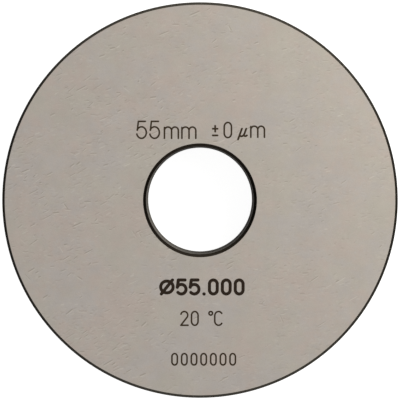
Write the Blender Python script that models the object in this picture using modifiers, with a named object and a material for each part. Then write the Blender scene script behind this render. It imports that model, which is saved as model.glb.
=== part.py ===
"""Disc-type setting standard for outside micrometers, nominal size 55 mm.

The real one is a single piece of hardened steel: turned, bored and chamfered, then ground round on
its rim and lapped flat on both faces. The rim is the measuring surface. It lies on its back face.
The origin is the centre of that face, and +Z is the disc's axis, out through the marked face.
"""

from math import hypot, radians

import bpy

# Driving sizes, in metres.
DISC_DIAMETER = 0.055  # the nominal size, across the ground rim
DISC_THICKNESS = 0.010  # between the two lapped faces
BORE_DIAMETER = 0.015
RIM_CHAMFER = 0.0004  # leg of the 45 degree chamfer round each face
BORE_CHAMFER = 0.0004  # leg of the 45 degree chamfer at each end of the bore
TURNED_STEPS = 240  # facets in one turn

COLLECTION_NAME = "micrometer_setting_standard"
DISC_NAME = "setting_disc"
FULL_TURN_DEG = 360
SHARP_EDGE_DEG = 30

# Name, linear base colour, metallic, roughness.
LAPPED_STEEL = ("lapped_steel", (0.42, 0.375, 0.325, 1.0), 0.85, 0.38)
DARK_EDGES = ("dark_edges", (0.022, 0.020, 0.018, 1.0), 0.5, 0.42)
TURNED_BORE = ("turned_bore", (0.10, 0.098, 0.093, 1.0), 0.3, 0.55)


def clear_scene():
    """Empties the file, whatever it started with."""
    for obj in list(bpy.data.objects):
        bpy.data.objects.remove(obj, do_unlink=True)


def new_collection(name):
    """A collection under the scene's own."""
    collection = bpy.data.collections.new(name)
    bpy.context.scene.collection.children.link(collection)
    return collection


def new_material(name, base_colour, metallic, roughness):
    """A Principled BSDF with one colour and one finish."""
    material = bpy.data.materials.new(name)
    material.use_nodes = True
    shader = material.node_tree.nodes["Principled BSDF"]
    shader.inputs["Base Color"].default_value = base_colour
    shader.inputs["Metallic"].default_value = metallic
    shader.inputs["Roughness"].default_value = roughness
    return material


def disc_section():
    """Corners of the half section as (radius, height): down the rim, in under the back face, up the bore."""
    rim = DISC_DIAMETER / 2
    bore = BORE_DIAMETER / 2
    return [
        (rim - RIM_CHAMFER, DISC_THICKNESS),
        (rim, DISC_THICKNESS - RIM_CHAMFER),
        (rim, RIM_CHAMFER),
        (rim - RIM_CHAMFER, 0.0),
        (bore + BORE_CHAMFER, 0.0),
        (bore, BORE_CHAMFER),
        (bore, DISC_THICKNESS - BORE_CHAMFER),
        (bore + BORE_CHAMFER, DISC_THICKNESS),
    ]


def turned(name, section, steps):
    """Turns a closed section once round Z and returns the finished mesh."""
    corners = [(radius, 0.0, height) for radius, height in section]
    edges = [(i, (i + 1) % len(corners)) for i in range(len(corners))]
    outline = bpy.data.meshes.new(name + "_section")
    outline.from_pydata(corners, edges, [])

    blank = bpy.data.objects.new(name + "_blank", outline)
    bpy.context.scene.collection.objects.link(blank)
    screw = blank.modifiers.new("turn", "SCREW")
    screw.axis = "Z"
    screw.angle = radians(FULL_TURN_DEG)
    screw.steps = screw.render_steps = steps

    bpy.context.view_layer.update()
    evaluated = blank.evaluated_get(bpy.context.evaluated_depsgraph_get())
    mesh = bpy.data.meshes.new_from_object(evaluated)
    mesh.name = name
    bpy.data.objects.remove(blank, do_unlink=True)
    bpy.data.meshes.remove(outline)
    return mesh


def dress_disc(mesh):
    """Bright lapped faces and rim, chamfers left black from hardening and a grey turned bore."""
    finishes = [LAPPED_STEEL, DARK_EDGES, TURNED_BORE]
    for finish in finishes:
        mesh.materials.append(new_material(*finish))
    bore_reach = BORE_DIAMETER / 2 + BORE_CHAMFER
    for face in mesh.polygons:
        # 1 on the lapped faces, 0.7 on the chamfers, and 0 on the rim and in the bore.
        lean = round(abs(face.normal.z), 1)
        if 0 < lean < 1:
            finish = DARK_EDGES
        elif hypot(face.center.x, face.center.y) < bore_reach:
            finish = TURNED_BORE
        else:
            finish = LAPPED_STEEL
        face.material_index = finishes.index(finish)
    mesh.shade_smooth()
    mesh.set_sharp_from_angle(angle=radians(SHARP_EDGE_DEG))


def build_setting_disc(collection):
    """The whole standard, which is one solid piece."""
    mesh = turned(DISC_NAME, disc_section(), TURNED_STEPS)
    dress_disc(mesh)
    disc = bpy.data.objects.new(DISC_NAME, mesh)
    collection.objects.link(disc)
    return disc


def main():
    clear_scene()
    build_setting_disc(new_collection(COLLECTION_NAME))


main()
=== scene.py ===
"""Looks of the 55 mm disc-type micrometer setting standard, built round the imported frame.

The real one is a single piece of hardened steel: two lapped faces, a ground rim, a turned bore and
dark chamfers, with a size mark etched into one face. Geometry Nodes turn the disc and cut the mark in
millimetres, and scale the result to metres in the same tree.
"""

from __future__ import annotations

import logging
from dataclasses import dataclass, field
from enum import Enum
from functools import partial, reduce
from math import cos, pi, radians, sin

import bpy
from mathutils import Matrix, Vector

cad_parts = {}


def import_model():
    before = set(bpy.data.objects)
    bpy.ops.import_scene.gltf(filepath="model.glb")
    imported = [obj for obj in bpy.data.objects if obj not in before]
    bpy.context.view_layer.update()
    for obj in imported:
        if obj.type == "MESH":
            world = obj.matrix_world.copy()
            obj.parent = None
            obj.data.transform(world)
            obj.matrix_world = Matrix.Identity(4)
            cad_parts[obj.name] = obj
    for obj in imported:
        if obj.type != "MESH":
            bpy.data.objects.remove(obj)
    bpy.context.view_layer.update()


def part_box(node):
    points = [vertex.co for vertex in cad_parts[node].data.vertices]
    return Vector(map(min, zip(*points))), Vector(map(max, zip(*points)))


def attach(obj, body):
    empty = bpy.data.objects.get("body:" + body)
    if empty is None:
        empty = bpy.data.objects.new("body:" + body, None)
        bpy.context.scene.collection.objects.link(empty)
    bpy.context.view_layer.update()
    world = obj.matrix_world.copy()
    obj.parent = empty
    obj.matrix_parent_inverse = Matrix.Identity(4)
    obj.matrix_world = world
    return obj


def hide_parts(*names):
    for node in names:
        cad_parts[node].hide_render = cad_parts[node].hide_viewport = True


LOG = logging.getLogger("setting_standard")

METRES_PER_MM = 0.001
MM_PER_METRE = 1000.0
DISC_NODE = "setting_disc"
DISC_PIECE = "marked_disc"
BODY = "root"

Point = tuple[float, float]
Limits = tuple[float, float]
Colour = tuple[float, float, float, float]
Socket = bpy.types.NodeSocket
Sockets = bpy.types.bpy_prop_collection
Wire = object  # a socket to link from, or a plain value to set
Wires = dict[str | int, Wire]  # what a node's inputs get, by name or number
Inputs = dict[str, tuple[str, Wire]]  # a tree's inputs: the socket type and first value of each

RISING: Limits = (0.0, 1.0)
FALLING: Limits = (1.0, 0.0)
WHITE: Colour = (1.0, 1.0, 1.0, 1.0)
ARC_STEP = 10.0  # degrees from one point of a curved stroke to the next


class TreeSketch:
    """Adds the nodes of one node tree, and wires each as it is added."""

    def __init__(self, tree: bpy.types.NodeTree) -> None:
        """Starts on a tree."""
        self.tree = tree

    def add(self, kind: str, wires: Wires | None = None, **settings: object) -> bpy.types.Node:
        """Adds a node.

        Args:
            kind: the node's type name.
            wires: what its inputs get.
            settings: its own properties.

        Returns:
            The new node.
        """
        node = self.tree.nodes.new(kind)
        for name, value in settings.items():
            setattr(node, name, value)
        for key, value in (wires or {}).items():
            self.wire(value, node.inputs[key])
        return node

    def wire(self, value: Wire, socket: Socket) -> None:
        """Feeds an input.

        Args:
            value: a socket to link from, or a plain value to set.
            socket: the input.
        """
        if isinstance(value, Socket):
            self.tree.links.new(value, socket)
        else:
            socket.default_value = value

    def math(self, operation: str, *values: Wire) -> Socket:
        """A Math node on the values, and its result."""
        return self.add("ShaderNodeMath", dict(enumerate(values)), operation=operation).outputs["Value"]

    def times(self, *values: Wire) -> Socket:
        """The product of two values or more."""
        return reduce(partial(self.math, "MULTIPLY"), values)

    def most(self, *values: Wire) -> Socket:
        """The largest of two values or more."""
        return reduce(partial(self.math, "MAXIMUM"), values)

    def vector_math(self, operation: str, *values: Wire) -> Socket:
        """A Vector Math node on the values, and its vector."""
        node = self.add("ShaderNodeVectorMath", dict(enumerate(values)), operation=operation)
        return node.outputs["Vector"]

    def scaled(self, vector: Wire, scale: Wire) -> Socket:
        """A vector times a number."""
        node = self.add("ShaderNodeVectorMath", {0: vector, "Scale": scale}, operation="SCALE")
        return node.outputs["Vector"]

    def vector(self, x: Wire = 0.0, y: Wire = 0.0, z: Wire = 0.0) -> Socket:
        """A vector from its three parts."""
        return self.add("ShaderNodeCombineXYZ", {0: x, 1: y, 2: z}).outputs["Vector"]

    def turned(self, vector: Wire, angle: Wire) -> Socket:
        """A vector turned about Z, by an angle in radians."""
        wires = {"Vector": vector, "Angle": angle}
        return self.add("ShaderNodeVectorRotate", wires, rotation_type="Z_AXIS").outputs["Vector"]

    def parts(self, vector: Wire) -> Sockets:
        """A vector's parts, by the names X, Y and Z."""
        return self.add("ShaderNodeSeparateXYZ", {"Vector": vector}).outputs

    def ramp(self, value: Wire, ends: tuple[Wire, Wire], results: tuple[Wire, Wire]) -> Socket:
        """Maps a value smoothly from one range to another, and holds the results past their ends."""
        wires = dict(zip(("Value", "From Min", "From Max", "To Min", "To Max"), (value, *ends, *results)))
        return self.add("ShaderNodeMapRange", wires, interpolation_type="SMOOTHSTEP").outputs["Result"]

    def noise(self, vector: Wire, scale: float, detail: float = 2.0, roughness: float = 0.5) -> Socket:
        """A Noise Texture on a vector, and its value, which is about 0.5 on average."""
        wires = {"Vector": vector, "Scale": scale, "Detail": detail, "Roughness": roughness}
        return self.add("ShaderNodeTexNoise", wires).outputs["Fac"]

    def tint(self, blend: str, factor: Wire, first: Wire, second: Wire) -> Socket:
        """Mixes two colours.

        Args:
            blend: how they mix, such as MIX or MULTIPLY.
            factor: how much of the second is used.
            first: the colour below.
            second: the colour on top.

        Returns:
            The mixed colour.
        """
        node = self.add("ShaderNodeMix", data_type="RGBA", blend_type=blend)
        sockets = {socket.identifier: socket for socket in (*node.inputs, *node.outputs)}
        for name, value in (("Factor_Float", factor), ("A_Color", first), ("B_Color", second)):
            self.wire(value, sockets[name])
        return sockets["Result_Color"]


def floats(*labels: str) -> Inputs:
    """Number inputs, which get their values where the tree is used."""
    return {label: ("NodeSocketFloat", None) for label in labels}


def new_tree(name: str, kind: str, inputs: Inputs, outputs: dict[str, str]) -> tuple[TreeSketch, Sockets]:
    """Makes a node group with named inputs and outputs.

    Args:
        name: the group's name.
        kind: the tree's type name.
        inputs: its inputs.
        outputs: each output's socket type, by name.

    Returns:
        A sketch on the new tree, and the sockets that hold its inputs.
    """
    tree = bpy.data.node_groups.new(name, kind)
    for label, (socket_type, value) in inputs.items():
        socket = tree.interface.new_socket(name=label, in_out="INPUT", socket_type=socket_type)
        if value is not None:
            socket.default_value = value
    for label, socket_type in outputs.items():
        tree.interface.new_socket(name=label, in_out="OUTPUT", socket_type=socket_type)
    sketch = TreeSketch(tree)
    return sketch, sketch.add("NodeGroupInput").outputs


def apply_tree(obj: bpy.types.Object, tree: bpy.types.NodeTree, values: dict[str, Wire]) -> bpy.types.Mesh:
    """Runs a Geometry Nodes tree on an object and gives the result as a plain mesh.

    Args:
        obj: the object that the tree starts from. It keeps no modifier.
        tree: the Geometry Nodes tree.
        values: the tree's inputs, by name.

    Returns:
        The finished mesh.
    """
    modifier = obj.modifiers.new(tree.name, "NODES")
    modifier.node_group = tree
    for item in tree.interface.items_tree:
        if item.in_out == "INPUT" and item.name in values:
            modifier[item.identifier] = values[item.name]
    obj.update_tag()
    bpy.context.view_layer.update()
    evaluated = obj.evaluated_get(bpy.context.evaluated_depsgraph_get())
    mesh = bpy.data.meshes.new_from_object(evaluated)
    obj.modifiers.remove(modifier)
    return mesh


def new_object(name: str, data: bpy.types.ID) -> bpy.types.Object:
    """Puts a new object in the scene.

    Args:
        name: the object's name.
        data: its mesh, light or camera.

    Returns:
        The object, at the origin.
    """
    obj = bpy.data.objects.new(name, data)
    bpy.context.scene.collection.objects.link(obj)
    return obj


class ShaderGroup(Enum):
    """The effects that more than one finish uses, by the names of their node groups."""

    STROKES = "Lapping strokes"
    LINES = "Turned lines"
    GRAIN = "Steel grain"


@dataclass
class ShaderShop:
    """Builds each shared shader group once, and places it in the materials that ask for it.

    A lapping stroke's half length, half width and strength are shares of its layer's own values,
    chosen for each stroke between two limits. Its fade starts at a share of its half length, and its
    lip, a painted highlight, lies a number of half widths beside it.
    """

    half_lengths: Limits = (0.2, 0.5)
    half_widths: Limits = (0.35, 0.65)
    strengths: Limits = (0.3, 1.0)
    fade_start: float = 0.5
    lip_offset: float = 1.3
    lip_strength: float = 0.85
    line_drift: float = 0.05
    line_detail: float = 3.0
    grain_per_mm: float = 6.0
    grain_detail: float = 3.0
    drift_per_mm: float = 0.11
    drift_detail: float = 5.0
    drift_roughness: float = 0.85
    built: dict[ShaderGroup, bpy.types.NodeTree] = field(default_factory=dict)

    def place(self, sketch: TreeSketch, group: ShaderGroup, wires: Wires) -> Sockets:
        """Places a group in a material.

        Args:
            sketch: the material's tree.
            group: which effect.
            wires: what its inputs get.

        Returns:
            The group's outputs.
        """
        if group not in self.built:
            makers = {
                ShaderGroup.STROKES: self.strokes,
                ShaderGroup.LINES: self.lines,
                ShaderGroup.GRAIN: self.grain,
            }
            self.built[group] = makers[group]().tree
        return sketch.add("ShaderNodeGroup", wires, node_tree=self.built[group]).outputs

    def strokes(self) -> TreeSketch:
        """Short straight strokes left by lapping, one to a cell, coloured as painted light: some dark as
        painted shade, with a painted highlight on their lip, some light as a painted glint.

        Returns:
            The group's tree, which puts out a mask of the painted shade and one of the painted highlight and
            glint.
        """
        sketch, given = new_tree(
            ShaderGroup.STROKES.value,
            "ShaderNodeTree",
            {
                "Millimetres": ("NodeSocketVector", None),
                **floats("Angle", "Spread", "Pitch Along", "Pitch Across", "Length", "Width"),
                **floats("Share", "Dark Share", "Seed"),
            },
            {"Dark": "NodeSocketFloat", "Light": "NodeSocketFloat"},
        )
        turned = sketch.turned(given["Millimetres"], sketch.times(given["Angle"], -1.0))
        pitch = sketch.vector(given["Pitch Along"], given["Pitch Across"], 1.0)
        shift = sketch.vector(given["Seed"], given["Seed"])
        cells = sketch.vector_math("ADD", sketch.vector_math("DIVIDE", turned, pitch), shift)
        voronoi = sketch.add("ShaderNodeTexVoronoi", {"Vector": cells, "Scale": 1.0}, voronoi_dimensions="2D")
        middle = voronoi.outputs["Position"]
        noise = sketch.add("ShaderNodeTexWhiteNoise", {"Vector": middle}, noise_dimensions="2D")
        chance, other = (
            sketch.add("ShaderNodeSeparateColor", {"Color": node.outputs["Color"]}).outputs
            for node in (voronoi, noise)
        )

        spin = sketch.times(sketch.math("SUBTRACT", chance["Red"], 0.5), given["Spread"])
        offset = sketch.vector_math("MULTIPLY", sketch.vector_math("SUBTRACT", cells, middle), pitch)
        local = sketch.parts(sketch.turned(offset, spin))
        half_length = sketch.times(given["Length"], sketch.ramp(chance["Green"], RISING, self.half_lengths))
        half_width = sketch.times(given["Width"], sketch.ramp(other["Green"], RISING, self.half_widths))
        fade = (sketch.times(half_length, self.fade_start), half_length)
        run = sketch.ramp(sketch.math("ABSOLUTE", local["X"]), fade, FALLING)
        core = sketch.ramp(sketch.math("ABSOLUTE", local["Y"]), (0.0, half_width), FALLING)
        # The lip beside a dark stroke is a painted highlight.
        beside = sketch.math("ADD", local["Y"], sketch.times(half_width, self.lip_offset))
        lip = sketch.ramp(sketch.math("ABSOLUTE", beside), (0.0, half_width), (self.lip_strength, 0.0))

        held = sketch.math("LESS_THAN", chance["Blue"], given["Share"])
        strength = sketch.times(held, sketch.ramp(other["Red"], RISING, self.strengths), run)
        is_dark = sketch.math("LESS_THAN", other["Blue"], given["Dark Share"])
        dark = sketch.times(core, is_dark, strength)
        light = sketch.times(core, sketch.math("SUBTRACT", 1.0, is_dark))
        light = sketch.times(sketch.math("ADD", light, sketch.times(lip, is_dark)), strength)
        sketch.add("NodeGroupOutput", {"Dark": dark, "Light": light})
        return sketch

    def lines(self) -> TreeSketch:
        """Fine lines round the axis, left by turning or grinding.

        Returns:
            The group's tree, which puts out a value from 0 to 1.
        """
        sketch, given = new_tree(
            ShaderGroup.LINES.value,
            "ShaderNodeTree",
            {
                "Millimetres": ("NodeSocketVector", None),
                "Lines Per Millimetre": ("NodeSocketFloat", None),
                "Drift Round": ("NodeSocketFloat", self.line_drift),
            },
            {"Lines": "NodeSocketFloat"},
        )
        stretch = sketch.vector(given["Drift Round"], given["Drift Round"], given["Lines Per Millimetre"])
        stretched = sketch.vector_math("MULTIPLY", given["Millimetres"], stretch)
        sketch.add("NodeGroupOutput", {"Lines": sketch.noise(stretched, 1.0, self.line_detail)})
        return sketch

    def grain(self) -> TreeSketch:
        """The fine even grain of the steel, and a slow drift in its tone.

        Returns:
            The group's tree, which puts out both as values from 0 to 1.
        """
        sketch, given = new_tree(
            ShaderGroup.GRAIN.value,
            "ShaderNodeTree",
            {
                "Millimetres": ("NodeSocketVector", None),
                "Grain Per Millimetre": ("NodeSocketFloat", self.grain_per_mm),
                "Drift Per Millimetre": ("NodeSocketFloat", self.drift_per_mm),
            },
            {"Grain": "NodeSocketFloat", "Drift": "NodeSocketFloat"},
        )
        fine = sketch.scaled(given["Millimetres"], given["Grain Per Millimetre"])
        slow = sketch.scaled(given["Millimetres"], given["Drift Per Millimetre"])
        grain = sketch.noise(fine, 1.0, self.grain_detail)
        drift = sketch.noise(slow, 1.0, self.drift_detail, self.drift_roughness)
        sketch.add("NodeGroupOutput", {"Grain": grain, "Drift": drift})
        return sketch


class FinishSketch(TreeSketch):
    """A material's tree, with its Principled BSDF and the object's own coordinates in millimetres."""

    def __init__(self, name: str) -> None:
        """Makes the material.

        Args:
            name: the material's name.
        """
        self.material = bpy.data.materials.new(name)
        self.material.use_nodes = True
        super().__init__(self.material.node_tree)
        self.shader = self.tree.nodes["Principled BSDF"]
        self.millimetres = self.scaled(self.add("ShaderNodeTexCoord").outputs["Object"], MM_PER_METRE)

    def feed(self, name: str, value: Wire) -> None:
        """Wires or sets one of the Principled BSDF's inputs."""
        self.wire(value, self.shader.inputs[name])

    def relief(self, height: Wire, depth: float) -> None:
        """Bumps the surface by a height from 0 to 1, whose depth is in millimetres."""
        bump = self.add("ShaderNodeBump", {"Height": height, "Distance": depth * METRES_PER_MM})
        self.feed("Normal", bump.outputs["Normal"])


@dataclass(frozen=True)
class StrokeLayer:
    """One set of lapping strokes, in degrees and millimetres.

    The shares are those of its cells that hold a stroke, on the disc's left and on its right.
    """

    angle: float
    spread: float
    pitch: tuple[float, float]
    length: float
    width: float
    shares: Limits
    dark_share: float
    strength: float
    seed: float


@dataclass(frozen=True)
class LappedSteel:
    """The satin face: strokes from lapping, which lie closer on the left and are coloured as painted shade
    and painted glint over a small bump, over a fine grain and a slow drift.

    A field that ends in noise holds the values of a noise between which its effect sets in.
    """

    name: str = "lapped_faces"
    colour: Colour = (0.349, 0.321, 0.282, 1.0)
    rosy: Colour = (0.363, 0.313, 0.280, 1.0)
    rosy_noise: Limits = (0.40, 0.62)
    bluish: Colour = (0.346, 0.318, 0.296, 1.0)
    bluish_noise: Limits = (0.42, 0.64)
    bluish_offset: tuple[float, float, float] = (60.0, 0.0, 0.0)
    # The colour of the strokes' painted shade, then that of their painted glints and lips.
    painted_shade_colour: Colour = (0.208, 0.184, 0.156, 1.0)
    painted_glint_colour: Colour = (0.460, 0.421, 0.372, 1.0)
    roughness: float = 0.42
    metallic: float = 1.0
    stroke_depth: float = 0.002
    left_to_right: Limits = (-20.0, 20.0)
    patches_per_mm: float = 0.25
    patch_noise: Limits = (0.38, 0.62)
    patch_shares: Limits = (0.15, 1.85)
    mottle_per_mm: float = 0.30
    mottle_detail: float = 4.0
    mottle_roughness: float = 0.85
    mottle_noise: Limits = (0.2, 0.8)
    mottle_tones: Limits = (0.951, 1.049)
    fleck_noise: Limits = (0.3, 0.7)
    fleck_tones: Limits = (0.974, 1.026)
    layers: tuple[StrokeLayer, ...] = (
        StrokeLayer(30.0, 20.0, (2.6, 1.0), 2.0, 0.19, (0.23, 0.04), 0.88, strength=0.70, seed=3.1),
        StrokeLayer(19.0, 54.0, (1.5, 0.6), 1.2, 0.215, (0.26, 0.07), 0.75, strength=0.64, seed=17.7),
        StrokeLayer(4.0, 50.0, (1.1, 0.45), 0.9, 0.30, (0.68, 0.58), 0.55, strength=0.23, seed=41.3),
        StrokeLayer(-42.0, 50.0, (3.2, 1.6), 1.4, 0.18, (0.07, 0.04), 0.8, strength=0.53, seed=67.9),
    )

    def material(self, shop: ShaderShop) -> bpy.types.Material:
        """Builds the finish.

        Args:
            shop: where the shared groups come from.

        Returns:
            The material.
        """
        sketch = FinishSketch(self.name)
        across = sketch.parts(sketch.millimetres)["X"]
        patches = sketch.noise(sketch.millimetres, self.patches_per_mm)
        patches = sketch.ramp(patches, self.patch_noise, self.patch_shares)
        dark: Wire = 0.0
        light: Wire = 0.0
        for layer in self.layers:
            share = sketch.ramp(across, self.left_to_right, layer.shares)
            wires = {
                "Millimetres": sketch.millimetres,
                "Angle": radians(layer.angle),
                "Spread": radians(layer.spread),
                "Pitch Along": layer.pitch[0],
                "Pitch Across": layer.pitch[1],
                "Length": layer.length,
                "Width": layer.width,
                "Share": sketch.times(patches, share),
                "Dark Share": layer.dark_share,
                "Seed": layer.seed,
            }
            strokes = shop.place(sketch, ShaderGroup.STROKES, wires)
            dark = sketch.most(dark, sketch.times(strokes["Dark"], layer.strength))
            light = sketch.most(light, sketch.times(strokes["Light"], layer.strength))
        # The strokes are painted light: painted glints and lips, then painted shade in the dark strokes.
        colour = sketch.tint("MIX", light, self.ground(sketch, shop), self.painted_glint_colour)
        colour = sketch.tint("MIX", dark, colour, self.painted_shade_colour)
        sketch.feed("Base Color", colour)
        sketch.feed("Roughness", self.roughness)
        sketch.feed("Metallic", self.metallic)
        sketch.relief(sketch.math("SUBTRACT", light, dark), self.stroke_depth)
        return sketch.material

    def ground(self, sketch: FinishSketch, shop: ShaderShop) -> Socket:
        """The colour under the strokes.

        Args:
            sketch: the material's tree.
            shop: where the shared groups come from.

        Returns:
            The steel's colour, with its grain and its slow drift towards rose and blue.
        """
        grain = shop.place(sketch, ShaderGroup.GRAIN, {"Millimetres": sketch.millimetres})
        elsewhere = sketch.vector_math("ADD", sketch.millimetres, self.bluish_offset)
        second = shop.place(sketch, ShaderGroup.GRAIN, {"Millimetres": elsewhere})
        rose = sketch.ramp(grain["Drift"], self.rosy_noise, RISING)
        blue = sketch.ramp(second["Drift"], self.bluish_noise, RISING)
        colour = sketch.tint("MIX", rose, self.colour, self.rosy)
        colour = sketch.tint("MIX", blue, colour, self.bluish)
        mottle = sketch.noise(
            sketch.millimetres, self.mottle_per_mm, self.mottle_detail, self.mottle_roughness
        )
        tone = sketch.ramp(mottle, self.mottle_noise, self.mottle_tones)
        fleck = sketch.ramp(grain["Grain"], self.fleck_noise, self.fleck_tones)
        return sketch.tint("MULTIPLY", 1.0, colour, sketch.times(tone, fleck))


@dataclass(frozen=True)
class LinedFinish:
    """A surface turned or ground round the axis: fine lines, with a slow drift from one colour to a second.

    The painted light share is how far the place round the disc, and not the drift, leads to the second
    colour, as painted light that is lighter above and below the disc's middle.
    """

    name: str
    colour: Colour
    second_colour: Colour
    roughness: float
    metallic: float
    specular: float
    lines_per_mm: float
    line_depth: float
    painted_light_share: float = 0.0
    drift_noise: Limits = (0.40, 0.62)
    fine_noise: Limits = (0.3, 0.7)
    line_tones: Limits = (0.86, 1.10)
    roughness_swing: float = 0.05

    def material(self, shop: ShaderShop) -> bpy.types.Material:
        """Builds the finish.

        Args:
            shop: where the shared groups come from.

        Returns:
            The material.
        """
        sketch = FinishSketch(self.name)
        wires = {"Millimetres": sketch.millimetres, "Lines Per Millimetre": self.lines_per_mm}
        lines = shop.place(sketch, ShaderGroup.LINES, wires)["Lines"]
        grain = shop.place(sketch, ShaderGroup.GRAIN, {"Millimetres": sketch.millimetres})
        drift = sketch.ramp(grain["Drift"], self.drift_noise, RISING)
        drift = sketch.times(drift, 1.0 - self.painted_light_share)
        # For the chamfers this adds painted light, lighter above and below the disc's middle.
        drift = sketch.math("ADD", drift, sketch.times(self.painted_light_sides(sketch), self.painted_light_share))
        colour = sketch.tint("MIX", drift, self.colour, self.second_colour)
        tone = sketch.ramp(lines, self.fine_noise, self.line_tones)
        swing = (self.roughness - self.roughness_swing, self.roughness + self.roughness_swing)
        sketch.feed("Base Color", sketch.tint("MULTIPLY", 1.0, colour, tone))
        sketch.feed("Roughness", sketch.ramp(grain["Grain"], self.fine_noise, swing))
        sketch.feed("Metallic", self.metallic)
        sketch.feed("Specular IOR Level", self.specular)
        sketch.relief(lines, self.line_depth)
        return sketch.material

    def painted_light_sides(self, sketch: FinishSketch) -> Socket:
        """Where a point lies round the disc, which places the painted light on the chamfers.

        Args:
            sketch: the material's tree.

        Returns:
            A value from 0 on its left and right to 1 above and below its middle.
        """
        flat = sketch.vector_math("MULTIPLY", sketch.millimetres, (1.0, 1.0, 0.0))
        away = sketch.parts(sketch.vector_math("NORMALIZE", flat))["Y"]
        return sketch.times(away, away)


@dataclass(frozen=True)
class DarkChamfers(LinedFinish):
    """Dark chamfers, with painted light: lighter above and below the disc's middle, as though lit from there,
    and darker on its left and right.
    """

    roughness: float = 0.45
    metallic: float = 0.0
    specular: float = 0.02
    lines_per_mm: float = 14.0
    line_depth: float = 0.002
    # Painted light: how far the chamfers are lighter above and below the disc's middle.
    painted_light_share: float = 0.92


@dataclass(frozen=True)
class EtchedMark:
    """The brown floor of the etched figures, which is nearly black where it is etched deeper."""

    name: str
    colour: Colour
    worn_colour: Colour
    worn_noise: Limits = (0.45, 0.75)
    roughness: float = 0.65
    specular: float = 0.08
    speckle_per_mm: float = 14.0
    speckle_depth: float = 0.004

    def material(self, shop: ShaderShop) -> bpy.types.Material:
        """Builds the finish.

        Args:
            shop: where the shared groups come from.

        Returns:
            The material.
        """
        sketch = FinishSketch(self.name)
        wires = {"Millimetres": sketch.millimetres, "Grain Per Millimetre": self.speckle_per_mm}
        speckle = shop.place(sketch, ShaderGroup.GRAIN, wires)["Grain"]
        worn = sketch.ramp(speckle, self.worn_noise, RISING)
        sketch.feed("Base Color", sketch.tint("MIX", worn, self.colour, self.worn_colour))
        sketch.feed("Roughness", self.roughness)
        sketch.feed("Specular IOR Level", self.specular)
        sketch.relief(speckle, self.speckle_depth)
        return sketch.material


Finish = LappedSteel | LinedFinish | EtchedMark


@dataclass(frozen=True)
class Stroke:
    """One pass of the marking tool, in shares of the figures' height."""

    points: tuple[Point, ...]
    closed: bool = False


@dataclass(frozen=True)
class Figure:
    """A figure or sign: its strokes, and how far on the next one starts."""

    advance: float
    strokes: tuple[Stroke, ...] = ()
    slant: float = 0.0


def arc(centre: Point, radii: Point, start: float, end: float) -> tuple[Point, ...]:
    """Points along part of an ellipse.

    Args:
        centre: the ellipse's centre.
        radii: its radii along X and Y.
        start: the angle that it starts at, in degrees.
        end: the angle that it ends at, in degrees.

    Returns:
        The points, both ends included.
    """
    count = round(abs(end - start) / ARC_STEP)
    angles = [radians(start + (end - start) * i / count) for i in range(count + 1)]
    return tuple((centre[0] + radii[0] * cos(a), centre[1] + radii[1] * sin(a)) for a in angles)


def engraver_figures(five_tail: float) -> dict[str, Figure]:
    """The single-stroke figures and signs that the mark needs.

    Args:
        five_tail: where the bowl of a 5 ends, in degrees.

    Returns:
        The figures, by character.
    """
    oval_top = arc((0.24, 0.70), (0.24, 0.30), 0, 170)
    oval_foot = arc((0.24, 0.30), (0.24, 0.30), 180, 350)
    open_top = arc((0.28, 0.68), (0.28, 0.32), 35, 180)
    open_foot = arc((0.28, 0.32), (0.28, 0.32), 180, 325)
    two_bowl = arc((0.25, 0.74), (0.25, 0.26), 165, -38) + ((0.0, 0.0),)
    five_bowl = arc((0.285, 0.34), (0.285, 0.34), 154, five_tail)
    micro_bowl = arc((0.18, 0.20), (0.13, 0.14), 180, 360)
    micro_tail = ((0.31, 0.52),) + arc((0.41, 0.16), (0.10, 0.09), 180, 330)
    ring = arc((0.13, 0.87), (0.13, 0.13), 0, 350)
    wide_oval = arc((0.40, 0.5), (0.38, 0.42), 0, 350)
    first_arch = arc((0.31, 0.455), (0.21, 0.21), 180, 0) + ((0.52, 0.0),)
    second_arch = arc((0.72, 0.455), (0.20, 0.21), 180, 0) + ((0.92, 0.0),)
    return {
        " ": Figure(0.50),
        ".": Figure(0.40, (Stroke(((0.08, 0.0), (0.10, 0.0))),)),
        "0": Figure(0.77, (Stroke(oval_top + oval_foot, closed=True),)),
        "2": Figure(0.77, (Stroke(two_bowl), Stroke(((0.0, 0.0), (0.52, 0.0))))),
        "5": Figure(
            0.77,
            (Stroke(((0.10, 1.0), (0.51, 1.0))), Stroke(((0.10, 1.0), (0.04, 0.48))), Stroke(five_bowl)),
        ),
        "m": Figure(1.03, (Stroke(((0.10, 0.0), (0.10, 0.64))), Stroke(first_arch), Stroke(second_arch))),
        "µ": Figure(
            0.70,
            (Stroke(((0.05, -0.13), (0.05, 0.52))), Stroke(micro_bowl), Stroke(micro_tail)),
            slant=0.36,
        ),
        "±": Figure(
            0.78,
            (
                Stroke(((0.03, 0.57), (0.34, 0.57))),
                Stroke(((0.185, 0.38), (0.185, 0.76))),
                Stroke(((0.03, 0.13), (0.34, 0.13))),
            ),
        ),
        "°": Figure(0.42, (Stroke(ring, closed=True),)),
        "C": Figure(0.77, (Stroke(open_top + open_foot),)),
        "Ø": Figure(0.98, (Stroke(wide_oval, closed=True), Stroke(((0.06, 0.0), (0.74, 1.0))))),
    }


@dataclass(frozen=True)
class MarkRow:
    """One row of the mark, in millimetres from the disc's centre."""

    name: str
    text: str
    left: float
    baseline: float
    figure_height: float
    stroke_width: float = 0.235
    tracking: float = 0.0
    stretch: float = 1.0
    five_tail: float = -165.0
    bold: bool = False


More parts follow.
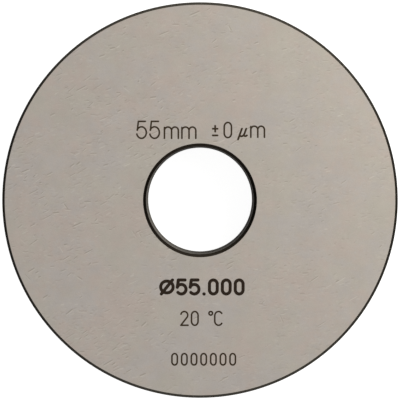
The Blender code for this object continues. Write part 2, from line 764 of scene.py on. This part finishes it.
@dataclass
class SizeMark:
    """The mark etched into the face, which is generic: sizes, a temperature and a plain number."""

    depth: float = 0.02
    bold_depth: float = 0.04
    end_sides: int = 16
    rows: tuple[MarkRow, ...] = (
        MarkRow("size", "55mm", -8.78, 8.60, 2.35),
        MarkRow("deviation_sign", "±", 1.72, 8.73, 2.10, stroke_width=0.26),
        MarkRow("deviation", "0", 3.36, 8.70, 2.10),
        MarkRow("micro_sign", "µ", 5.27, 8.74, 2.30, stroke_width=0.27),
        MarkRow("deviation_unit", "m", 6.82, 8.75, 2.30),
        MarkRow("bold_size", "Ø55.000", -5.50, -13.00, 1.94, 0.45, 0.02, 1.17, five_tail=-138.0, bold=True),
        MarkRow("temperature", "20 °C", -2.65, -17.35, 1.91),
        MarkRow("number", "0000000", -3.90, -22.87, 1.58, tracking=0.081),
    )

    def cutters(self, face_height: float) -> list[bpy.types.Object]:
        """Builds each row's cutter.

        Args:
            face_height: the height of the face that is marked, in millimetres.

        Returns:
            One object for each row, in millimetres.
        """
        tree = self.stroke_tree()
        made = []
        for row in self.rows:
            cutter = new_object("cut_" + row.name, self.paths(row))
            values = {
                "Stroke Width": row.stroke_width,
                "Depth": self.bold_depth if row.bold else self.depth,
                "Face Height": face_height,
                "End Sides": self.end_sides,
            }
            cutter.data = apply_tree(cutter, tree, values)
            made.append(cutter)
            LOG.info("row %s: %d faces in its cutter", row.name, len(cutter.data.polygons))
        return made

    def paths(self, row: MarkRow) -> bpy.types.Mesh:
        """Lays a row's strokes out as edges.

        Args:
            row: the row.

        Returns:
            A mesh of edges alone, at height 0.
        """
        points: list[tuple[float, float, float]] = []
        edges: list[tuple[int, int]] = []
        figures = engraver_figures(row.five_tail)
        high = row.figure_height
        wide = row.figure_height * row.stretch
        pen = row.left
        for character in row.text:
            figure = figures[character]
            for stroke in figure.strokes:
                first = len(points)
                for x, y in stroke.points:
                    leaned = x + figure.slant * y
                    points.append((pen + leaned * wide, row.baseline + y * high, 0.0))
                last = len(points) - 1
                edges.extend((i, i + 1) for i in range(first, last))
                if stroke.closed:
                    edges.append((last, first))
            pen += (figure.advance + row.tracking) * wide
        mesh = bpy.data.meshes.new("paths_" + row.name)
        mesh.from_pydata(points, edges, [])
        return mesh

    def stroke_tree(self) -> bpy.types.NodeTree:
        """Turns paths into bars with round ends, sunk into the face by the depth.

        Returns:
            The tree that does it.
        """
        inputs = {
            "Paths": ("NodeSocketGeometry", None),
            **floats("Stroke Width", "Depth", "Face Height"),
            "End Sides": ("NodeSocketInt", None),
        }
        sketch, given = new_tree("Mark strokes", "GeometryNodeTree", inputs, {"Cutter": "NodeSocketGeometry"})
        curves = sketch.add("GeometryNodeMeshToCurve", {"Mesh": given["Paths"]}).outputs["Curve"]
        tall = sketch.times(given["Depth"], 2.0)
        wires = {"Width": given["Stroke Width"], "Height": tall}
        profile = sketch.add("GeometryNodeCurvePrimitiveQuadrilateral", wires).outputs["Curve"]
        wires = {"Curve": curves, "Profile Curve": profile, "Fill Caps": True}
        bars = sketch.add("GeometryNodeCurveToMesh", wires).outputs["Mesh"]

        radius = sketch.math("DIVIDE", given["Stroke Width"], 2.0)
        wires = {"Vertices": given["End Sides"], "Radius": radius, "Depth": tall}
        end = sketch.add("GeometryNodeMeshCylinder", wires).outputs["Mesh"]
        is_end = sketch.add("GeometryNodeCurveEndpointSelection").outputs["Selection"]
        is_loop = sketch.add("GeometryNodeInputSplineCyclic").outputs["Cyclic"]
        is_open = sketch.add("FunctionNodeBooleanMath", {0: is_end, 1: is_loop}, operation="NIMPLY")
        wires = {"Points": curves, "Selection": is_open.outputs["Boolean"], "Instance": end}
        ends = sketch.add("GeometryNodeInstanceOnPoints", wires).outputs["Instances"]
        ends = sketch.add("GeometryNodeRealizeInstances", {"Geometry": ends}).outputs["Geometry"]

        joined = sketch.add("GeometryNodeJoinGeometry", {"Geometry": bars})
        sketch.wire(ends, joined.inputs["Geometry"])
        wires = {"Geometry": joined.outputs["Geometry"], "Translation": sketch.vector(z=given["Face Height"])}
        raised = sketch.add("GeometryNodeTransform", wires).outputs["Geometry"]
        sketch.add("NodeGroupOutput", {"Cutter": raised})
        return sketch.tree


class Surface(Enum):
    """The disc's surfaces, by the names of the tree's material inputs."""

    FACES = "Faces"
    BORE_CHAMFERS = "Bore Chamfers"
    RIM_CHAMFERS = "Rim Chamfers"
    RIM = "Rim"
    BORE = "Bore"
    MARK = "Mark"
    BOLD_MARK = "Bold Mark"


def disc_finishes() -> dict[Surface, Finish]:
    """Chooses the finishes.

    Returns:
        The finish of each of the disc's surfaces.
    """
    return {
        Surface.FACES: LappedSteel(),
        # The bore chamfers' second colour is painted light, used above and below the disc's middle.
        Surface.BORE_CHAMFERS: DarkChamfers(
            name="dark_bore_chamfers",
            colour=(0.0020, 0.0014, 0.0006, 1.0),
            second_colour=(0.0258, 0.0210, 0.0159, 1.0),
        ),
        # The rim chamfers' second colour is painted light, used above and below the disc's middle.
        Surface.RIM_CHAMFERS: DarkChamfers(
            name="worn_rim_chamfers",
            colour=(0.0108, 0.0094, 0.0070, 1.0),
            second_colour=(0.051, 0.0455, 0.038, 1.0),
        ),
        Surface.RIM: LinedFinish(
            name="ground_rim",
            colour=(0.46, 0.43, 0.39, 1.0),
            second_colour=(0.43, 0.405, 0.37, 1.0),
            roughness=0.30,
            metallic=1.0,
            specular=0.5,
            lines_per_mm=16.0,
            line_depth=0.002,
        ),
        Surface.BORE: LinedFinish(
            name="turned_bore",
            colour=(0.188, 0.176, 0.166, 1.0),
            second_colour=(0.162, 0.152, 0.143, 1.0),
            roughness=0.75,
            metallic=0.0,
            specular=0.0,
            lines_per_mm=7.0,
            line_depth=0.01,
        ),
        Surface.MARK: EtchedMark(
            name="etched_mark",
            colour=(0.030, 0.020, 0.011, 1.0),
            worn_colour=(0.053, 0.037, 0.023, 1.0),
        ),
        Surface.BOLD_MARK: EtchedMark(
            name="bold_mark",
            colour=(0.016, 0.010, 0.006, 1.0),
            worn_colour=(0.032, 0.022, 0.014, 1.0),
        ),
    }


@dataclass(frozen=True)
class Radii:
    """The disc's radii in its tree: the rim's, the bore's and the one halfway between them."""

    rim: Wire
    bore: Wire
    middle: Wire


@dataclass
class SettingDisc:
    """The whole standard, in millimetres. Its outer size comes from the frame.

    A face's lean is 1 where it lies flat and 0 where it stands upright. The mark keeps its margin, in
    chamfers, from the bore and the rim, and starts at a share of its depth. A corner cut with 1 point is
    a chamfer, and one with more is a round.
    """

    diameter: float
    thickness: float
    bore_diameter: float = 15.0
    rim_chamfer: float = 0.4
    bore_chamfer: float = 0.4
    chamfer_points: int = 1
    edge_break: float = 0.03
    edge_break_points: int = 3
    turned_steps: int = 480
    sharp_edge: float = 5.0
    upright_lean: float = 0.1
    flat_lean: float = 0.99
    mark_margin: float = 1.5
    mark_start: float = 0.25
    mark: SizeMark = field(default_factory=SizeMark)
    finishes: dict[Surface, Finish] = field(default_factory=disc_finishes)

    def lengths(self) -> dict[str, float]:
        """Gathers the lengths that the tree needs.

        Returns:
            Each in millimetres, by the name of its input.
        """
        return {
            "Diameter": self.diameter,
            "Thickness": self.thickness,
            "Bore Diameter": self.bore_diameter,
            "Rim Chamfer": self.rim_chamfer,
            "Bore Chamfer": self.bore_chamfer,
            "Edge Break": self.edge_break,
            "Mark Depth": self.mark.depth,
            "Bold Depth": self.mark.bold_depth,
        }

    def build(self, shop: ShaderShop) -> bpy.types.Object:
        """Turns the disc, cuts the mark and dresses the surfaces.

        Args:
            shop: where the finishes' shared groups come from.

        Returns:
            The finished disc, in metres.
        """
        cutters = self.mark.cutters(self.thickness)
        disc = new_object(DISC_PIECE, bpy.data.meshes.new("blank"))
        values: dict[str, Wire] = {
            **self.lengths(),
            "Steps": self.turned_steps,
            "Metres Per Unit": METRES_PER_MM,
            **{surface.value: finish.material(shop) for surface, finish in self.finishes.items()},
        }
        disc.data = apply_tree(disc, self.disc_tree(cutters), values)
        disc.data.name = DISC_PIECE
        disc.data.shade_smooth()
        disc.data.set_sharp_from_angle(angle=radians(self.sharp_edge))
        for cutter in cutters:
            bpy.data.objects.remove(cutter, do_unlink=True)
        return disc

    def disc_tree(self, cutters: list[bpy.types.Object]) -> bpy.types.NodeTree:
        """Makes the tree that turns the section round the axis, cuts the mark and sets the materials.

        Args:
            cutters: the objects that the mark is cut with.

        Returns:
            The tree.
        """
        inputs = {
            "Blank": ("NodeSocketGeometry", None),
            **floats(*self.lengths(), "Metres Per Unit"),
            "Steps": ("NodeSocketInt", None),
            **{surface.value: ("NodeSocketMaterial", None) for surface in Surface},
        }
        sketch, given = new_tree("Turned disc", "GeometryNodeTree", inputs, {"Disc": "NodeSocketGeometry"})
        rim = sketch.math("DIVIDE", given["Diameter"], 2.0)
        bore = sketch.math("DIVIDE", given["Bore Diameter"], 2.0)
        radii = Radii(rim, bore, sketch.math("DIVIDE", sketch.math("ADD", rim, bore), 2.0))
        ring = self.turned_ring(sketch, given, radii)
        marked = self.mark_cut(sketch, ring, cutters)
        sketch.add("NodeGroupOutput", {"Disc": self.dress(sketch, given, radii, marked)})
        return sketch.tree

    def turned_ring(self, sketch: TreeSketch, given: Sockets, radii: Radii) -> Socket:
        """Sweeps the chamfered section round a circle through its middle.

        Args:
            sketch: the disc's tree.
            given: the tree's inputs.
            radii: the disc's radii.

        Returns:
            The plain ring, standing on height 0.
        """
        wires = {"Width": sketch.math("SUBTRACT", radii.rim, radii.bore), "Height": given["Thickness"]}
        section = sketch.add("GeometryNodeCurvePrimitiveQuadrilateral", wires).outputs["Curve"]
        outward = sketch.parts(sketch.add("GeometryNodeInputPosition").outputs["Position"])["X"]
        is_outer = sketch.math("GREATER_THAN", outward, 0.0)
        wires = {"Factor": is_outer, "A": given["Bore Chamfer"], "B": given["Rim Chamfer"]}
        leg = sketch.add("ShaderNodeMix", wires).outputs["Result"]
        for radius, points in ((leg, self.chamfer_points), (given["Edge Break"], self.edge_break_points)):
            wires = {"Curve": section, "Radius": radius, "Count": points, "Limit Radius": True}
            section = sketch.add("GeometryNodeFilletCurve", wires, mode="POLY").outputs["Curve"]

        wires = {"Resolution": given["Steps"], "Radius": radii.middle}
        circle = sketch.add("GeometryNodeCurvePrimitiveCircle", wires).outputs["Curve"]
        swept = sketch.add("GeometryNodeCurveToMesh", {"Curve": circle, "Profile Curve": section})
        lift = sketch.vector(z=sketch.math("DIVIDE", given["Thickness"], 2.0))
        wires = {"Geometry": swept.outputs["Mesh"], "Translation": lift}
        return sketch.add("GeometryNodeTransform", wires).outputs["Geometry"]

    def mark_cut(self, sketch: TreeSketch, ring: Wire, cutters: list[bpy.types.Object]) -> Socket:
        """Cuts the mark's rows out of the ring.

        Args:
            sketch: the disc's tree.
            ring: the plain ring.
            cutters: the rows' cutters.

        Returns:
            The ring with its mark.
        """
        wires = {"Mesh 1": ring, "Self Intersection": True}
        cut = sketch.add("GeometryNodeMeshBoolean", wires, operation="DIFFERENCE", solver="EXACT")
        for cutter in cutters:
            row = sketch.add("GeometryNodeObjectInfo", {"Object": cutter})
            sketch.wire(row.outputs["Geometry"], cut.inputs["Mesh 2"])
        return cut.outputs["Mesh"]

    def dress(self, sketch: TreeSketch, given: Sockets, radii: Radii, solid: Wire) -> Socket:
        """Scales the disc to metres and gives each surface its material.

        Args:
            sketch: the disc's tree.
            given: the tree's inputs.
            radii: the disc's radii.
            solid: the disc in millimetres.

        Returns:
            The dressed disc, in metres.
        """
        unit = given["Metres Per Unit"]
        units = sketch.vector(unit, unit, unit)
        normal = sketch.parts(sketch.add("GeometryNodeInputNormal").outputs["Normal"])
        lean = sketch.math("ABSOLUTE", normal["Z"])
        place = sketch.add("GeometryNodeInputPosition").outputs["Position"]
        place = sketch.parts(sketch.vector_math("DIVIDE", place, units))
        flat = sketch.vector(place["X"], place["Y"])
        out = sketch.add("ShaderNodeVectorMath", {0: flat}, operation="LENGTH").outputs["Value"]

        upright = sketch.math("LESS_THAN", lean, self.upright_lean)
        slanted = sketch.math("SUBTRACT", sketch.math("LESS_THAN", lean, self.flat_lean), upright)
        is_inner = sketch.math("LESS_THAN", out, radii.middle)
        nearest = sketch.math("ADD", radii.bore, sketch.times(given["Bore Chamfer"], self.mark_margin))
        farthest = sketch.math("SUBTRACT", radii.rim, sketch.times(given["Rim Chamfer"], self.mark_margin))
        off_bore = sketch.math("GREATER_THAN", out, nearest)
        off_rim = sketch.math("LESS_THAN", out, farthest)
        start = sketch.times(given["Mark Depth"], self.mark_start)
        low = sketch.math("LESS_THAN", place["Z"], sketch.math("SUBTRACT", given["Thickness"], start))
        high = sketch.math("GREATER_THAN", place["Z"], sketch.math("DIVIDE", given["Thickness"], 2.0))
        in_mark = sketch.times(low, high, off_bore, off_rim)
        between = sketch.math("DIVIDE", sketch.math("ADD", given["Mark Depth"], given["Bold Depth"]), 2.0)
        deep = sketch.math("LESS_THAN", place["Z"], sketch.math("SUBTRACT", given["Thickness"], between))

        scaled = sketch.add("GeometryNodeTransform", {"Geometry": solid, "Scale": units}).outputs["Geometry"]
        dressed = sketch.add("GeometryNodeRealizeInstances", {"Geometry": scaled}).outputs["Geometry"]
        chosen = {
            Surface.FACES: True,
            Surface.RIM_CHAMFERS: slanted,
            Surface.BORE_CHAMFERS: sketch.times(slanted, is_inner),
            Surface.RIM: upright,
            Surface.BORE: sketch.times(upright, is_inner),
            Surface.MARK: in_mark,
            Surface.BOLD_MARK: sketch.times(in_mark, deep),
        }
        for surface, where in chosen.items():
            wires = {"Geometry": dressed, "Selection": where, "Material": given[surface.value]}
            dressed = sketch.add("GeometryNodeSetMaterial", wires).outputs["Geometry"]
        return dressed


@dataclass(frozen=True)
class SoftLamp:
    """A square area lamp that points at the disc, in metres. White is a radiance of 1."""

    name: str
    place: tuple[float, float, float]
    side: float
    radiance: float
    colour: tuple[float, float, float]

    def build(self, target: Vector) -> None:
        """Hangs the lamp.

        Args:
            target: the point that it faces.
        """
        light = bpy.data.lights.new(self.name, "AREA")
        light.shape = "SQUARE"
        light.size = self.side
        light.color = self.colour
        light.energy = self.radiance * pi * self.side**2
        lamp = new_object(self.name, light)
        lamp.location = self.place
        lamp.rotation_euler = (target - Vector(self.place)).to_track_quat("-Z", "Y").to_euler()
        lamp.visible_camera = False


@dataclass
class Studio:
    """A white table under plain soft light, and the camera that looks straight down on the disc.

    Its lengths are in metres, but for the sensor and the lens. The camera sees the table's glow and its
    lit colour, and all other light meets its plain colour.
    """

    table_half: float = 3.0
    table_colour: Colour = (0.80, 0.80, 0.80, 1.0)
    table_glow: float = 0.92
    table_lit: Colour = (0.35, 0.35, 0.35, 1.0)
    ambient: float = 0.55
    camera_height: float = 0.220
    camera_aside: Point = (0.0003, 0.0026)
    camera_aim: Point = (0.000004, 0.000046)
    camera_start: float = 0.01
    sensor: float = 36.0
    lens: float = 142.72
    lamps: tuple[SoftLamp, ...] = (
        SoftLamp("key_lamp", place=(0.26, 0.16, 0.26), side=0.36, radiance=3.8, colour=(1.0, 0.98, 0.87)),
    )

    def build(self, face_height: float) -> None:
        """Sets the table, the world, the lamps and the camera.

        Args:
            face_height: the height of the disc's marked face, in metres.
        """
        target = Vector((0.0, 0.0, face_height))
        self.table()
        self.world()
        for lamp in self.lamps:
            lamp.build(target)
        self.camera(target)

    def seen_directly(self, sketch: TreeSketch) -> Socket:
        """1 for what the camera sees, also in a reflection or through glass, and 0 for other light."""
        path = sketch.add("ShaderNodeLightPath").outputs
        return sketch.most(path["Is Camera Ray"], path["Is Glossy Ray"], path["Is Transmission Ray"])

    def table(self) -> None:
        """A wide white table top, with the disc's own shadow on it."""
        half = self.table_half
        corners = [(-half, -half, 0), (half, -half, 0), (half, half, 0), (-half, half, 0)]
        mesh = bpy.data.meshes.new("table_top")
        mesh.from_pydata(corners, [], [(0, 1, 2, 3)])
        material = bpy.data.materials.new("white_table")
        material.use_nodes = True
        material.node_tree.nodes.clear()
        sketch = TreeSketch(material.node_tree)
        plain = sketch.add("ShaderNodeBsdfDiffuse", {"Color": self.table_colour}).outputs["BSDF"]
        glow = sketch.add("ShaderNodeEmission", {"Strength": self.table_glow}).outputs["Emission"]
        lit = sketch.add("ShaderNodeBsdfDiffuse", {"Color": self.table_lit}).outputs["BSDF"]
        white = sketch.add("ShaderNodeAddShader", {0: glow, 1: lit}).outputs["Shader"]
        mixed = sketch.add("ShaderNodeMixShader", {0: self.seen_directly(sketch), 1: plain, 2: white})
        sketch.add("ShaderNodeOutputMaterial", {"Surface": mixed.outputs["Shader"]})
        mesh.materials.append(material)
        new_object("table_top", mesh)

    def world(self) -> None:
        """A white surround, which lights the disc at a plain level."""
        world = bpy.data.worlds.new("pale_room")
        world.use_nodes = True
        world.node_tree.nodes.clear()
        sketch = TreeSketch(world.node_tree)
        ambient, white = (
            sketch.add("ShaderNodeBackground", {"Color": WHITE, "Strength": strength}).outputs["Background"]
            for strength in (self.ambient, 1.0)
        )
        mixed = sketch.add("ShaderNodeMixShader", {0: self.seen_directly(sketch), 1: ambient, 2: white})
        sketch.add("ShaderNodeOutputWorld", {"Surface": mixed.outputs["Shader"]})
        bpy.context.scene.world = world

    def camera(self, target: Vector) -> None:
        """Looks down on the disc's middle from a little above and to the right of it.

        Args:
            target: the middle of the face, which the camera looks at, but for its small aim.
        """
        data = bpy.data.cameras.new("camera")
        data.sensor_width = self.sensor
        data.lens = self.lens
        data.clip_start = self.camera_start
        camera = new_object("camera", data)
        place = target + Vector((*self.camera_aside, self.camera_height))
        forward = (target + Vector((*self.camera_aim, 0.0)) - place).normalized()
        right = forward.cross(Vector((0.0, 1.0, 0.0))).normalized()
        turn = Matrix((right, right.cross(forward), -forward)).transposed()
        camera.matrix_world = Matrix.Translation(place) @ turn.to_4x4()
        bpy.context.scene.camera = camera


def main() -> None:
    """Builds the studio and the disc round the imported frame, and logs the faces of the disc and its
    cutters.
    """
    logging.basicConfig(level=logging.INFO, format="%(name)s: %(message)s")
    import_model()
    lowest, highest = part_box(DISC_NODE)
    size = (highest - lowest) * MM_PER_METRE
    bpy.context.scene.view_settings.view_transform = "Standard"

    Studio().build(highest.z)
    disc = SettingDisc(diameter=size.x, thickness=size.z).build(ShaderShop())
    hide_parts(DISC_NODE)
    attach(disc, BODY)
    LOG.info("%s: %d faces, on body %s", disc.name, len(disc.data.polygons), BODY)


if __name__ == "__main__":
    main()
